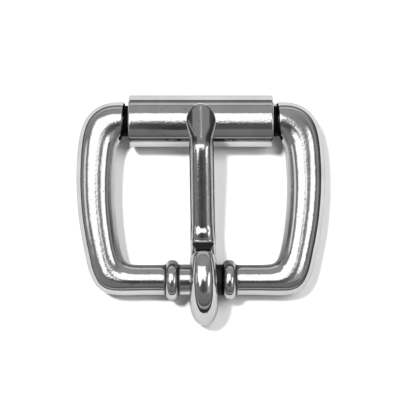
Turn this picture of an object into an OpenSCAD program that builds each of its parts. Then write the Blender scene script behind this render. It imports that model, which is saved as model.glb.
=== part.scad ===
// Roller buckle for a 25 mm strap, lying flat with its front face up.
// Three pieces: a cast loop frame, a sleeve that rolls on its top bar, and a
// tongue whose eye is closed round the heel bar. Millimetres, +Z up.
// Sections are first laid out in profile coordinates: u runs from the heel bar's
// axis towards the roller, and v runs up from the plane of the two bars.

/* [Frame] */
// Distance from the heel bar's axis to the roller's axis
pitch = 25.4; // [24:0.1:28]
// Diameter of the heel bar, which the strap folds round
bar_d = 4.9; // [4:0.1:5.2]
// Diameter of the top bar inside the roller
axle_d = 4.9; // [4:0.1:5]
// Diameter of the two raised rings beside the tongue
collar_d = 6.4; // [5.6:0.1:7]
// Width of each raised ring
collar_w = 2.1; // [1.5:0.1:2.6]
// Clear space between the two rings, where the tongue sits
collar_gap = 7.06; // [6.4:0.01:9]

/* [Roller] */
// Outer diameter of the roller
roller_d = 8.3; // [7.8:0.1:8.8]
// Bore of the roller
roller_bore = 5.5; // [5.3:0.05:6]
// Length of the roller
roller_len = 23; // [22:0.1:23.8]
// Radius of the rounded edge at each end of the roller
roller_edge = 0.25; // [0.1:0.05:0.5]
// Width of the seam where the rolled sleeve closes
seam_w = 0.2; // [0.1:0.05:0.4]

/* [Tongue] */
// Width of the straight part of the tongue
shank_w = 3.66; // [3.2:0.02:4.2]
// Height of the shank's top above the bars' plane, at the heel bar's end
shank_top = 4.2; // [4:0.05:4.6]
// Height of the shank's underside above the bars' plane, at the same end
shank_under = 0.4; // [0:0.05:1]
// Rise of the shank's top towards the roller, per millimetre of its length
rise_top = 0.22; // [0.2:0.005:0.24]
// Rise of the shank's underside towards the roller, per millimetre of its length
rise_under = 0.19; // [0.16:0.005:0.21]
// Greatest width of the flattened tip
tip_w = 4.66; // [4:0.02:5.6]
// Bore of the eye, which turns on the heel bar
eye_bore = 5.5; // [5.3:0.05:5.8]
// Reach of the knuckle behind the heel bar's axis
knuckle_r = 7.44; // [7.2:0.02:7.6]
// Greatest width of the knuckle
knuckle_w = 4.64; // [4:0.02:5]
// Gap between the tip's underside and the roller
tip_gap = 0.15; // [0.1:0.05:0.4]
// Width of the hairline slit where the eye closes against the shank
slit_w = 0.18; // [0.1:0.02:0.3]

/* [Hidden] */

roller_r = roller_d / 2;
bar_r = bar_d / 2;
bore_r = eye_bore / 2;
axis_z = roller_r;
heel_y = (knuckle_r - pitch - roller_r) / 2;
roller_y = heel_y + pitch;
steel = [0.62, 0.62, 0.63];
bright_steel = [0.66, 0.66, 0.67];

// Sides of a faceted section, and steps between two rows of a table
frame_sides = 20;
tongue_sides = 24;
steps = 3;
// How far a round bar reaches into the casting that carries it, and how much
// wider the casting is there
root = 0.6;
root_over = 0.05;
// Angle of the roller's seam from straight up, so that it lies underneath
seam_angle = 205;

// Half of the frame, from the heel bar round to the shoulder beside the roller.
// Columns: inner outline across and along, outer outline across and along,
// height of the section
limb_rows = [
  [10.8,  bar_r + root_over, 10.8,  -bar_r - root_over, bar_d + 2 * root_over],
  [11.4,  2.56,          12.6,  -2.52,         5.02],
  [11.9,  2.82,          14.3,  -2.4,          5],
  [12.3,  3.3,           15.9,  -1.75,         5],
  [12.6,  4.05,          17.1,  -0.4,          5],
  [12.85, 5,             17.95, 1.6,           5],
  [13.07, 6.1,           18.5,  4,             5],
  [13.42, 0.335 * pitch, 19.12, 0.283 * pitch, 5],
  [13.68, 0.445 * pitch, 19.6,  0.417 * pitch, 5],
  [13.8,  0.57 * pitch,  19.87, 0.57 * pitch,  5],
  [13.73, 0.68 * pitch,  19.88, 0.697 * pitch, 5],
  [13.55, pitch - 6,     19.7,  pitch - 4.6,   5],
  [13.38, pitch - 4.7,   19.32, pitch - 2,     5],
  [13.12, pitch - 3.8,   18.53, pitch + 0.2,   5.05],
  [12.82, pitch - 3.28,  17.2,  pitch + 1.8,   5.15],
  [12.72, pitch - 2.96,  15.6,  pitch + 2.75,  5.25],
  [12.6,  pitch - 2.72,  13.9,  pitch + 3.05,  5.35],
  [12.52, pitch - 2.55,  12.14, pitch + 3,     5.4],
];

// Lines that the shank's profile follows, and points on them or proud of them
foot_u = 9.75;
tip_slope = 0.35;
crest_u = pitch - 4.5;
roller_clear = roller_r + tip_gap;
function top_line(u, proud = 0) = [u, shank_top + rise_top * (u - foot_u) + proud];
function under_line(u, proud = 0) = [u, shank_under + rise_under * (u - foot_u) + proud];
// Point of the tip's hollow underside, by its distance past the roller's axis
function under_tip(past) = [pitch + past, sqrt(pow(roller_clear, 2) - pow(past, 2))];
// Point of the tip's sloping top face, by its distance past the roller's axis
function top_tip(past) =
  [pitch + past, top_line(crest_u)[1] - tip_slope * (pitch + past - crest_u)];

// The tongue from its tip to the edge of the stub that the eye closes against.
// Columns: upper point, lower point, width, place of the widest line from the
// upper point (0) to the lower one (1), flatness of the upper half
shank_rows = [
  [[pitch + 2.64, 3.8],     [pitch + 2.5, 3.52],    0.5,     0.6,  2],
  [[pitch + 2.58, 3.99],    [pitch + 2.4, 3.52],    1.25,    0.62, 2],
  [[pitch + 2.36, 4.16],    under_tip(2.22),        2.1,     0.65, 2.05],
  [top_tip(1.9),            under_tip(1.8),         3,       0.68, 2.1],
  [top_tip(1.05),           under_tip(1.05),        4.05,    0.7,  2.15],
  [top_tip(-0.25),          under_tip(-0.1),        tip_w,   0.7,  2.2],
  [top_tip(-1.35),          under_tip(-1.2),        4.4,     0.66, 2.3],
  [top_tip(-2.5),           under_tip(-2.35),       3.75,    0.6,  2.4],
  [top_tip(-3.4),           under_tip(-3.25),       3.6,     0.56, 2.6],
  [top_tip(-4.05),          under_line(pitch - 3.8, -0.05), shank_w, 0.54, 2.8],
  [top_line(20.75, -0.1),   under_line(21),         shank_w, 0.54, 2.8],
  [top_line(19.9, -0.03),   under_line(20.1),       shank_w, 0.54, 2.8],
  [top_line(15),            under_line(15),         shank_w, 0.54, 2.8],
  [top_line(9.75),          under_line(10.3),       shank_w, 0.54, 2.8],
  [top_line(8.8),           under_line(9.6),        shank_w, 0.54, 2.8],
  [top_line(8, 0.13),       under_line(8.8),        3.69,    0.52, 3],
  [top_line(7.2, 0.29),     under_line(8.1),        3.74,    0.5,  3.2],
  [top_line(6.25, 0.29),    under_line(7.5, -0.05), 3.8,     0.5,  3.4],
  [[6.02, 4],               under_line(7.25, -0.1), 3.82,    0.52, 3.4],
  [[5.86, 4.22],            under_line(7.05, -0.15), 3.85,   0.55, 3.4],
  [[5.5, 4.78],             under_line(6.85, -0.2), 3.88,    0.6,  3.3],
  [[5.27, 5.1],             under_line(6.7, -0.26), 3.9,     0.62, 3.2],
];

// The eye, by the angle from straight up towards the roller.
// Columns: angle, width, radius of the widest line, flatness of the outer half
eye_rows = [
  [90,  4.2,  3.7,  2.4],
  [180, 4.4,  3.4,  2.4],
  [230, 4.58, 3.3,  2.2],
  [270, knuckle_w, 3.25, 2.1],
  [315, 4.6,  3.4,  2.4],
  [360, 4.5,  3.6,  2.7],
  [391, 4.15, 3.8,  2.8],
  [410, 3.9,  3.9,  2.8],
];
// Half of a section away from its outline is rounded by this flatness
under_flat = 2.4;
bar_side_flat = 4;
// Angle of the slit, and the radius at which it opens beside the stub's edge
slit_angle = 43.5;
foot_r = 7.12;
foot_w = 4;
// The bend from the stub into the eye: its outer radius, where it begins, and
// by how much its outer line leads the bar-side line until they meet
bend_r = 5.2;
foot_out_r = 5;
foot_flare = 1.6;
foot_start = 93;
foot_end = 112;
bend_lead = 68.5;
bend_end = 160;
// Profile of the eye round its back: a wide arc from its lowest corner up to a
// smaller dome arc, each with its centre (u, v)
dome_r = 6.7;
dome_centre = [0.2, 0.74];
back_r = knuckle_r + 2.3;
back_centre = [2.3, -1.46];
back_angle = 360 - 38.3;
belly_angle = 360 - 101.1;
// Radius of the nose at the free end of the eye
nose_r = 0.42;
// The bar-side line of the eye runs inside the bore, which then cuts it true
eye_inner_r = bore_r - 0.5;
eye_step = 9;
foot_steps = 4;
nose_steps = 5;
nose_centre_r = dome_r - nose_r;
nose_lean = dome_centre[0] * cos(slit_angle) - dome_centre[1] * sin(slit_angle);
nose_tilt = slit_angle - asin((nose_r + slit_w / 2 + nose_lean) / nose_centre_r);
// Sideways lean of the tongue, which lies a little askew on its bar
lean_mm = 0.5;
lean_over = 30;
lean_from = 27;

// Smooth curve through the rows of a table, at fraction t from row i to the next
function smooth_row(rows, i, t) =
  let (
    last = len(rows) - 1,
    a = rows[max(i - 1, 0)],
    b = rows[i],
    c = rows[min(i + 1, last)],
    d = rows[min(i + 2, last)]
  )
  0.5 * (2 * b + (c - a) * t + (2 * a - 5 * b + 4 * c - d) * t * t
    + (3 * b - 3 * c + d - a) * t * t * t);
function smooth_rows(rows, n) = [
  for (i = [0 : len(rows) - 2], k = [0 : n - 1]) smooth_row(rows, i, k / n),
  rows[len(rows) - 1]
];
// Straight-line value of a table's columns at a position in its first column
function row_at(rows, x, i = 0) =
  (i >= len(rows) - 2 || x <= rows[i + 1][0])
    ? let (t = (x - rows[i][0]) / (rows[i + 1][0] - rows[i][0]))
      rows[i] * (1 - t) + rows[i + 1] * t
    : row_at(rows, x, i + 1);

// A loft's rings run clockwise as seen from its first ring
function backwards(rings) = [for (i = [len(rings) - 1 : -1 : 0]) rings[i]];

// Corner of a rounded section: cosine and sine bent towards a square by n
function bent(x, n) = sign(x) * pow(abs(x), 2 / n);
function lean(u) = lean_mm * (lean_from - u) / lean_over;
function polar(r, a) = [r * sin(a), r * cos(a)];

// Ring of points of the frame's limb: an ellipse from the inner to the outer line
function limb_ring(row) = [
  for (k = [0 : frame_sides - 1])
    let (
      a = 360 * k / frame_sides,
      t = (1 + cos(a)) / 2
    )
    [row[0] + (row[2] - row[0]) * t, row[1] + (row[3] - row[1]) * t, row[4] / 2 * sin(a)]
];
function limb_rings() = [for (row = smooth_rows(limb_rows, steps)) limb_ring(row)];

// Ring of points of the tongue, between an upper and a lower profile point
function tongue_ring(top, low, width, waist, n_top, n_low) = [
  for (k = [0 : tongue_sides - 1])
    let (
      a = 360 * k / tongue_sides,
      n = sin(a) > 0 ? n_top : n_low,
      mid = top + (low - top) * waist,
      end = sin(a) > 0 ? top : low,
      p = mid + (end - mid) * abs(bent(sin(a), n)),
      x = width / 2 * bent(cos(a), n)
    )
    [x + lean(p[0]), p[0], p[1]]
];
function shank_rings() = [
  for (row = smooth_rows(shank_rows, steps))
    tongue_ring(row[0], row[1], row[2], row[3], row[4], under_flat)
];

// Distance from the bar's axis at this angle to an arc round a centre
function reach(a, centre, r) =
  let (share = centre[0] * sin(a) + centre[1] * cos(a))
  share + sqrt(pow(r, 2) - pow(centre[0], 2) - pow(centre[1], 2) + pow(share, 2));
// The same to the flat ellipse that closes the eye's back towards the surface
function belly_reach(a) =
  let (
    drop = back_centre[1],
    wide = back_r - back_centre[0],
    deep = roller_r + drop,
    p = pow(sin(a) / wide, 2) + pow(cos(a) / deep, 2),
    q = -drop * cos(a) / pow(deep, 2),
    rest = pow(drop / deep, 2) - 1
  )
  (sqrt(q * q - p * rest) - q) / p;
// Outer profile of the eye: tight on the shank's side, full on the far side
function eye_outer_r(a) =
  a <= 180 ? 1 / norm([sin(a) / bend_r, cos(a) / roller_r])
  : a <= belly_angle ? belly_reach(a)
  : a <= back_angle ? reach(a, back_centre, back_r)
  : reach(a, dome_centre, dome_r);
function eye_ring(inner, outer, a) =
  let (
    row = row_at(eye_rows, a),
    waist = (row[2] - norm(inner)) / (norm(outer) - norm(inner))
  )
  tongue_ring(inner, outer, row[1], min(max(waist, 0.15), 0.6), bar_side_flat, row[3]);
function slit_face(r, way) =
  polar(r, slit_angle) + way * slit_w / 2 * [cos(slit_angle), -sin(slit_angle)];

// From the stub's edge down the slit's face to the bore
function foot_rings() = [
  for (k = [1 : foot_steps])
    let (
      t = k / foot_steps,
      inner = slit_face(foot_r + (eye_inner_r - foot_r) * t, 1),
      outer = polar(
        foot_out_r + foot_flare * pow(1 - t, 2),
        foot_end - (foot_end - foot_start) * (1 - t)
      )
    )
    tongue_ring(inner, outer, foot_w, 0.5, 3, under_flat)
];
// Round the bar; the bar-side line trails until the bend is done
function bend_trail(a) = bend_lead * max(0, (bend_end - a) / (bend_end - foot_end));
function round_rings() = [
  for (a = [foot_end + eye_step : eye_step : 360 + nose_turn() - 2])
    eye_ring(polar(eye_inner_r, a - bend_trail(a)), polar(eye_outer_r(a), a), a)
];
// The small rounded nose, which closes the eye against the stub
function nose_turn() =
  let (tip = dome_centre + polar(dome_r, nose_tilt))
  atan2(tip[0], tip[1]);
function nose_rings() = [
  for (k = [0 : nose_steps])
    let (
      t = k / nose_steps,
      turn = nose_tilt + (slit_angle + 90 - nose_tilt) * t,
      outer = dome_centre + polar(nose_centre_r, nose_tilt) + polar(nose_r, turn),
      inner = polar(eye_inner_r, nose_turn()) * (1 - t) + slit_face(eye_inner_r, -1) * t
    )
    eye_ring(inner, outer, 360 + nose_turn() + eye_step * t)
];

// Closed solid through a list of rings of equal length
module loft(rings) {
  n = len(rings[0]);
  last = len(rings) - 1;
  points = [for (ring = rings) each ring];
  walls = [
    for (i = [0 : last - 1], k = [0 : n - 1])
      let (
        a = i * n + k,
        b = i * n + (k + 1) % n,
        c = a + n,
        d = b + n
      )
      each [[a, b, d], [a, d, c]]
  ];
  cap_start = [for (k = [n - 1 : -1 : 0]) k];
  cap_end = [for (k = [0 : n - 1]) last * n + k];
  polyhedron(points, concat(walls, [cap_start], [cap_end]), convexity = 8);
}

module x_rod(d, length) {
  rotate([0, 90, 0])
    cylinder(d = d, h = length, center = true, $fn = 96);
}

// Raised ring cast on the heel bar
module collar() {
  rotate([0, 90, 0])
    rotate_extrude($fn = 96)
      translate([collar_d / 2 - collar_w / 2, 0])
        circle(d = collar_w, $fn = 48);
}

module frame() {
  color(steel)
    translate([0, heel_y, axis_z]) {
      x_rod(bar_d, 2 * (limb_rows[0][0] + root));
      for (side = [-1, 1])
        translate([side * (collar_gap + collar_w) / 2, 0, 0])
          collar();
      translate([0, pitch, 0])
        x_rod(axle_d, 2 * (limb_rows[len(limb_rows) - 1][0] + root));
      loft(limb_rings());
      mirror([1, 0, 0])
        loft(limb_rings());
    }
}

// Wall of the roller in section, with rounded outer edges
module roller_wall() {
  half = roller_len / 2;
  polygon([
    [roller_bore / 2, -half],
    [roller_r - roller_edge, -half],
    [roller_r, -half + roller_edge],
    [roller_r, half - roller_edge],
    [roller_r - roller_edge, half],
    [roller_bore / 2, half],
  ]);
}

module roller() {
  color(bright_steel)
    translate([0, roller_y, axis_z])
      difference() {
        rotate([0, 90, 0])
          rotate_extrude($fn = 128)
            roller_wall();
        rotate([seam_angle, 0, 0])
          translate([0, 0, roller_r])
            cube([roller_len + 1, seam_w, roller_d / 2], center = true);
      }
}

module tongue() {
  color(bright_steel)
    translate([0, heel_y, axis_z])
      difference() {
        loft(backwards(concat(shank_rings(), foot_rings(), round_rings(), nose_rings())));
        x_rod(eye_bore, 3 * knuckle_w);
      }
}

frame();
roller();
tongue();
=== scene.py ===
# %% [markdown]
# # Roller buckle in polished steel
# A roller buckle is three pieces: a cast loop frame, a sleeve that rolls on the
# frame's top bar, and a tongue whose eye is closed round the heel bar. The packed
# CAD model gives each piece's place and its joints. This script dresses them: it
# makes a fine surface for each piece, gives it polished steel, and lays it on a
# white table under soft light.

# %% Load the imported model
import math

import bpy
import numpy as np
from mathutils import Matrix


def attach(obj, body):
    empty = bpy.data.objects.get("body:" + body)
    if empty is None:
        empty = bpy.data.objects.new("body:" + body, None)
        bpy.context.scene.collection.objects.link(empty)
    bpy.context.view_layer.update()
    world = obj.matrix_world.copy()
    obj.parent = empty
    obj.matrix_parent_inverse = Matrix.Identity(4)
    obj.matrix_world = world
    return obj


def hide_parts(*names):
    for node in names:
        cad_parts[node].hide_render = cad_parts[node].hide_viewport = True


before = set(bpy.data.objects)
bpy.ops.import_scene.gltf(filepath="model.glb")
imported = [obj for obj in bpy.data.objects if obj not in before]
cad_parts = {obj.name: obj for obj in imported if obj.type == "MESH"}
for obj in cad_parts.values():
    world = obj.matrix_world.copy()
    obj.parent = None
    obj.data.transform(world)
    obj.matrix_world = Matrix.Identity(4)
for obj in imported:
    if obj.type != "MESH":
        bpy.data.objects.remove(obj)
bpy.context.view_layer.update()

# %% [markdown]
# ## Sizes
# The sizes repeat the driving values of the part's source, in millimetres.
# Sections are laid out in profile coordinates: u runs from the heel bar's axis
# towards the roller, and v runs up from the plane of the two bars. One function at
# the end turns them into metres in the model's own frame, so no piece is moved
# afterwards.

# %% Sizes in millimetres
MM = 0.001
PITCH = 25.4
BAR_R = 2.45
AXLE_R = 2.45
COLLAR_R = 3.2
COLLAR_W = 2.1
COLLAR_GAP = 7.06
ROLLER_R = 4.15
ROLLER_BORE_R = 2.75
ROLLER_LEN = 23.0
KNUCKLE_R = 7.44
HEEL_Y = (KNUCKLE_R - PITCH - ROLLER_R) / 2
AXIS_Z = ROLLER_R
ORIGIN = (0, HEEL_Y, AXIS_Z)


def placed(points):
    """Points in metres from profile coordinates (x, u, v): u is shifted to the
    heel bar's place and v is lifted by the height of the bars' plane."""
    return (points + ORIGIN) * MM


print("heel bar at y", round(HEEL_Y, 3), "roller at y", round(HEEL_Y + PITCH, 3))

# %% [markdown]
# ## From a grid of points to a mesh
# Each piece is one skin: a grid of rings, with the same number of points in each
# ring. A skin could be built face by face, but a grid already says which points
# are neighbours, so the faces are four shifted copies of one index table. A ring
# is always closed; the run of rings is closed for a loop, such as the frame, or
# ends in two caps.

# %% Skin over a grid of rings
def in_scene(name, data):
    """New object of this data, linked to the scene."""
    made = bpy.data.objects.new(name, data)
    bpy.context.scene.collection.objects.link(made)
    return made


def quads_between(here, ahead):
    """Quads from the index tables of some rings and of the rings ahead of them."""
    quads = np.stack([here, np.roll(here, -1, 1), np.roll(ahead, -1, 1), ahead], -1)
    return quads.reshape(-1, 4)


def skin(name, grid, looped=False):
    """Mesh object over grid[ring, point]: a quad joins points k and k+1 of rings
    i and i+1. Without looped, one extra point closes each end in a fan."""
    rings, around = grid.shape[:2]
    index = np.arange(rings * around).reshape(rings, around)
    ahead = np.roll(index, -1, axis=0) if looped else index[1:]
    here = index if looped else index[:-1]
    quads = quads_between(here, ahead)
    points = grid.reshape(-1, 3)
    fans = np.empty((0, 3), int)
    if not looped:
        middles = grid[[0, -1]].mean(axis=1)
        points = np.concatenate([points, middles])
        first, last = index[0], index[-1]
        start = np.full(around, rings * around)
        fans = np.concatenate([
            np.stack([start, np.roll(first, -1), first], -1),
            np.stack([start + 1, last, np.roll(last, -1)], -1),
        ])
    volume = enclosed(points, quads, fans)
    if volume < 0:
        quads, fans = quads[:, ::-1], fans[:, ::-1]
    mesh = bpy.data.meshes.new(name)
    mesh.from_pydata(points, [], quads.tolist() + fans.tolist())
    faces = len(mesh.polygons)
    mesh.polygons.foreach_set("use_smooth", np.ones(faces, bool))
    piece = in_scene(name, mesh)
    print(name, "rings", rings, "points", len(points), "faces", faces,
          "mm3", round(abs(volume) / MM ** 3, 1))
    return piece


def enclosed(points, quads, fans):
    """Volume inside the skin: a sixth of the sum of a . (b x c) over triangles
    a, b, c. It is negative where the faces point inwards."""
    tris = np.concatenate([quads[:, [0, 1, 2]], quads[:, [0, 2, 3]], fans])
    a, b, c = points[tris[:, 0]], points[tris[:, 1]], points[tris[:, 2]]
    return np.einsum("ij,ij->", a, np.cross(b, c)) / 6


# %% [markdown]
# ## Curves that polish can follow
# Polished metal shows every kink as a break in a reflection. Straight lines
# between the measured places would be full of them, so the places are joined by a
# curve whose slope and curvature both run on, and a light blur takes out the last
# unevenness of the measuring.

# %% Smooth curves through rows of a table
def spline(knots, rows, at):
    """Cubic between each two rows; slope and curvature agree where two cubics
    meet, and the curvature is zero at both ends."""
    count = len(knots)
    step = np.diff(knots)
    system = np.eye(count)
    k = np.arange(1, count - 1)
    system[k, k - 1] = step[:-1]
    system[k, k] = 2 * (step[:-1] + step[1:])
    system[k, k + 1] = step[1:]
    target = np.zeros_like(rows)
    target[1:-1] = 6 * np.diff(np.diff(rows, axis=0) / step[:, None], axis=0)
    bend = np.linalg.solve(system, target)
    i = np.clip(np.searchsorted(knots, at, side="right") - 1, 0, count - 2)
    h = step[i][:, None]
    past = (at - knots[i])[:, None]
    left = h - past
    return ((bend[i] * left ** 3 + bend[i + 1] * past ** 3) / (6 * h)
            + (rows[i] / h - bend[i] * h / 6) * left
            + (rows[i + 1] / h - bend[i + 1] * h / 6) * past)


def chord(points):
    """Distance run from the first point to each point, in straight steps."""
    steps = np.linalg.norm(np.diff(points, axis=0), axis=1)
    return np.concatenate([[0], np.cumsum(steps)])


def read(rows, run, at):
    """The rows at these places along run, each column on straight lines."""
    return np.stack([np.interp(at, run, column) for column in rows.T], axis=1)


def evenly(rows, run, count):
    """The rows at equal distances along run."""
    return read(rows, run, np.linspace(0, run[-1], count))


def ramp(value, start, end):
    """0 before start, 1 after end and a smooth step 3t^2 - 2t^3 between them."""
    t = np.clip((value - start) / (end - start), 0, 1)
    return t * t * (3 - 2 * t)


def falls(value, full, end):
    """1 up to full, 0 from end on and the same smooth step between them."""
    return ramp(-value, -end, -full)


def blurred(rows, width):
    """Each row averaged with its neighbours under a bell curve of this width in
    rows; both ends stay where they are."""
    reach = int(3 * width) + 1
    bell = np.exp(-0.5 * (np.arange(-reach, reach + 1) / width) ** 2)
    bell /= bell.sum()
    long = np.pad(rows, ((reach, reach), (0, 0)), mode="reflect", reflect_type="odd")
    return np.stack([np.convolve(c, bell, mode="valid") for c in long.T], axis=1)


# %% [markdown]
# ## The cast frame
# The frame is one casting, ground and polished until its section is a rounded
# oval that changes all the way round. Modelling the four sides apart would leave
# seams at the corners, so the whole loop is one run of rings. A ring is given by
# where its oval meets the inner outline and the outer outline, and by its height:
# the same three things that a caster's template gives.

# %% Outline table of half the frame
# Columns: inner outline across and along, outer outline across and along, height
LIMB = np.array([
    [8.6, 2.45, 8.6, -2.45, 4.9],
    [9.4, 2.45, 9.4, -2.45, 4.9],
    [10.2, 2.46, 10.3, -2.47, 4.92],
    [10.8, 2.49, 11.2, -2.5, 4.96],
    [11.4, 2.58, 12.6, -2.52, 5],
    [11.9, 2.82, 14.3, -2.4, 5],
    [12.3, 3.3, 15.9, -1.75, 5],
    [12.6, 4.05, 17.1, -0.4, 5],
    [12.85, 5, 17.95, 1.6, 5],
    [13.07, 6.1, 18.5, 4, 5],
    [13.42, 8.51, 19.12, 7.19, 5],
    [13.68, 11.3, 19.6, 10.59, 5],
    [13.8, 14.48, 19.87, 14.48, 5],
    [13.73, 17.27, 19.88, 17.7, 5],
    [13.55, 19.4, 19.7, 20.8, 5],
    [13.38, 20.7, 19.32, 23.4, 5],
    [13.12, 21.6, 18.53, 25.6, 5.05],
    [12.85, 22.1, 17.2, 27.2, 5.15],
    [12.72, 22.43, 15.6, 28.12, 5.25],
    [12.61, 22.66, 13.9, 28.45, 5.35],
    [12.55, 22.82, 12.12, 28.43, 5.4],
])
AROUND = 96
RIM_R = 0.3
RING_SQUARENESS = 2 / 2.35
HEEL_FINE, HEEL_BLUR = 420, 3.2
LIMB_FINE, LIMB_BLUR, LIMB_RINGS = 900, 12, 230


def shoulder_x(u):
    """The shoulder's end face at this u, on a line through both ends of the
    table's last row: it leans, nearer to the roller on the outer side."""
    inner_x, inner_u, outer_x, outer_u = LIMB[-1, :4]
    return outer_x + (inner_x - outer_x) * (outer_u - u) / (outer_u - inner_u)


def bar_rows(x, r):
    """Rows of a straight round bar along x with radius r."""
    return np.stack([x, r, x, -r, 2 * r], axis=1)


def heel_rows():
    """The heel bar from the middle to the limb, over the raised ring: the ring's
    profile is a rounded square on the bar, and a blur makes the fillets."""
    middle = (COLLAR_GAP + COLLAR_W) / 2
    half = COLLAR_W / 2
    turn = np.linspace(np.pi, 0, 160)
    x = middle + half * np.sign(np.cos(turn)) * np.abs(np.cos(turn)) ** RING_SQUARENESS
    r = COLLAR_R - half + half * np.abs(np.sin(turn)) ** RING_SQUARENESS
    ring = np.stack([x, r], 1)[r > BAR_R]
    line = np.concatenate([[[0, BAR_R]], ring, [[LIMB[0, 0], BAR_R]]])
    line = blurred(evenly(line, chord(line), HEEL_FINE), HEEL_BLUR)
    raised = np.abs(line[:, 0] - middle) < half + 0.35
    kept = np.flatnonzero(raised | (np.arange(len(line)) % 14 == 0))
    kept = kept[(np.diff(kept, prepend=-9) > 1) | (kept % 2 == 0)]
    return bar_rows(line[kept, 0], line[kept, 1])


def limb_rows():
    """The limb's rows along a spline, blurred, at equal distances."""
    middle = (LIMB[:, :2] + LIMB[:, 2:4]) / 2
    knots = chord(middle)
    rows = spline(knots, LIMB, np.linspace(0, knots[-1], LIMB_FINE))
    run = chord((rows[:, :2] + rows[:, 2:4]) / 2)
    rows = blurred(evenly(rows, run, LIMB_FINE), LIMB_BLUR)
    return evenly(rows, np.linspace(0, 1, LIMB_FINE), LIMB_RINGS)


print("frame", round(2 * LIMB[:, 2].max(), 2), "mm across")

# %% [markdown]
# ### The heel bar's section
# Hand polishing has left the heel bar with a flat on top and a long outer bevel,
# which run out softly into the corners. A plain cut would end sharply, so the
# section is written as a radius of curvature for each tilt of the surface.

# %% Section of the heel bar
# Columns: tilt of the surface in degrees (+90 towards the roller, -90 away from
# it) and the section's radius of curvature there
HEEL_SECTION = np.array([
    [90, 1.18], [49.9, 1.27], [40.4, 5.5], [36.4, 1.76], [16.6, 4.04], [0.85, 1.76],
    [-9.6, 1.65], [-21.1, 1.55], [-34.6, 3.6], [-48, 3.28], [-90, 3.28],
])
TILTS = 720


def heel_section():
    """Section of the heel bar as (share of the width from the inner to the outer
    line, height in half heights): the top is the integral of radius times the
    direction over the tilt, and two quarter ovals close it below."""
    tilt = np.radians(np.linspace(90, -90, TILTS + 1))
    radius = np.interp(-np.degrees(tilt), -HEEL_SECTION[:, 0], HEEL_SECTION[:, 1])
    radius = blurred(radius[:, None], 8)[:, 0]
    step = np.pi / TILTS
    u = -np.cumsum(radius * np.cos(tilt)) * step
    v = np.cumsum(radius * np.sin(tilt)) * step
    u = (u - u[0]) / (u[-1] - u[0])
    scale = (2 * BAR_R) / ((radius * np.cos(tilt)).sum() * step)
    v = (v - v.max()) * scale / BAR_R + 1
    low = np.linspace(0, np.pi / 2, 200)
    back_u = np.concatenate([0.5 + 0.5 * np.cos(low), 0.5 - 0.5 * np.sin(low)])
    back_v = np.concatenate([
        -1 + (v[-1] + 1) * (1 - np.sin(low)),
        -1 + (v[0] + 1) * (1 - np.cos(low)),
    ])
    u, v = np.concatenate([u, back_u[1:]]), np.concatenate([v, back_v[1:]])
    return np.stack([u, v], 1)[:-1]


def ring_shares():
    """The heel's section read so that its points lie beside those of an oval: the
    same share of the way round from the inner line over the top and below."""
    a = np.linspace(0, 2 * np.pi, AROUND, endpoint=False)
    oval = np.stack([(1 - np.cos(a)) / 2, np.sin(a)], 1)
    line = heel_section()
    run = chord(line * [2, 1])
    split = run[TILTS]
    below = split + (a / np.pi - 1) * (run[-1] - split)
    at = np.where(a <= np.pi, a / np.pi * split, below)
    return oval, read(line, run, at)


OVAL, HEEL = ring_shares()
print("heel section off the oval by", round(float(np.abs(HEEL - OVAL).max()), 3))

# %% [markdown]
# ### Rings round the loop
# The limb ends in a face towards the roller, with a rounded rim because a sharp
# one would catch no light. Inside the roller the loop goes on as a plain axle.

# %% Rings of the frame
def ovals(rows, polished=np.zeros(1)):
    """Rings of the rows. From the inner to the outer line the points go as a
    cosine and up and down as a sine of half the height; where polished is 1 they
    take the heel's section, and between 0 and 1 a mean of both."""
    share = polished[:, None, None]
    section = OVAL * (1 - share) + HEEL * share
    t, height = section[..., 0], section[..., 1]
    x = rows[:, 0:1] + (rows[:, 2:3] - rows[:, 0:1]) * t
    u = rows[:, 1:2] + (rows[:, 3:4] - rows[:, 1:2]) * t
    v = rows[:, 4:5] / 2 * height
    return np.stack([x, u, v], axis=-1)


def rounded_end(rings):
    """Points closer to the end face than RIM_R are drawn towards the middle of
    their ring, along a quarter circle: RIM_R minus the root of RIM_R squared minus
    (RIM_R minus distance) squared. The heel's half is left as it is."""
    near = np.clip(rings[..., 0] - shoulder_x(rings[..., 1]), 0, RIM_R)
    near[rings[..., 1] < PITCH / 2] = RIM_R
    draw = RIM_R - np.sqrt(RIM_R ** 2 - (RIM_R - near) ** 2)
    middle = rings[..., 1:].mean(axis=1, keepdims=True)
    spoke = rings[..., 1:] - middle
    length = np.linalg.norm(spoke, axis=-1)
    out = rings.copy()
    out[..., 1:] = middle + spoke * (1 - draw / length)[..., None]
    return out


def frame_rings():
    """Rings once round the loop: heel bar, limb, end face, top bar, and the same
    mirrored and in the other order for the second half."""
    heel = heel_rows()
    inside = COLLAR_GAP / 2 + COLLAR_W
    heel_polish = np.clip((heel[:, 0] - inside) / 0.5, 0, 1)
    limb = limb_rows()
    limb_polish = np.clip((17 - limb[:, 2]) / 3.5, 0, 1) * (limb[:, 1] < PITCH / 2)
    limb = rounded_end(ovals(limb, limb_polish))
    axle_x = np.concatenate([[12.3], np.linspace(12, 10.8, 4), np.linspace(10, 1, 6)])
    axle = bar_rows(axle_x, np.full(len(axle_x), AXLE_R))
    axle[:, [1, 3]] = [PITCH - AXLE_R, PITCH + AXLE_R]
    axle = ovals(axle)
    axle[0, :, 0] = shoulder_x(axle[0, :, 1])
    steps = np.linspace(0, 1, 7)[1:-1, None, None]
    face = limb[-1] * (1 - steps) + axle[0] * steps
    half = np.concatenate([ovals(heel, heel_polish)[1:], limb[1:], face, axle])
    other = half[::-1] * [-1, 1, 1]
    return np.concatenate([half, other])


cast_frame = skin("cast_frame", placed(frame_rings()), looped=True)

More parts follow.
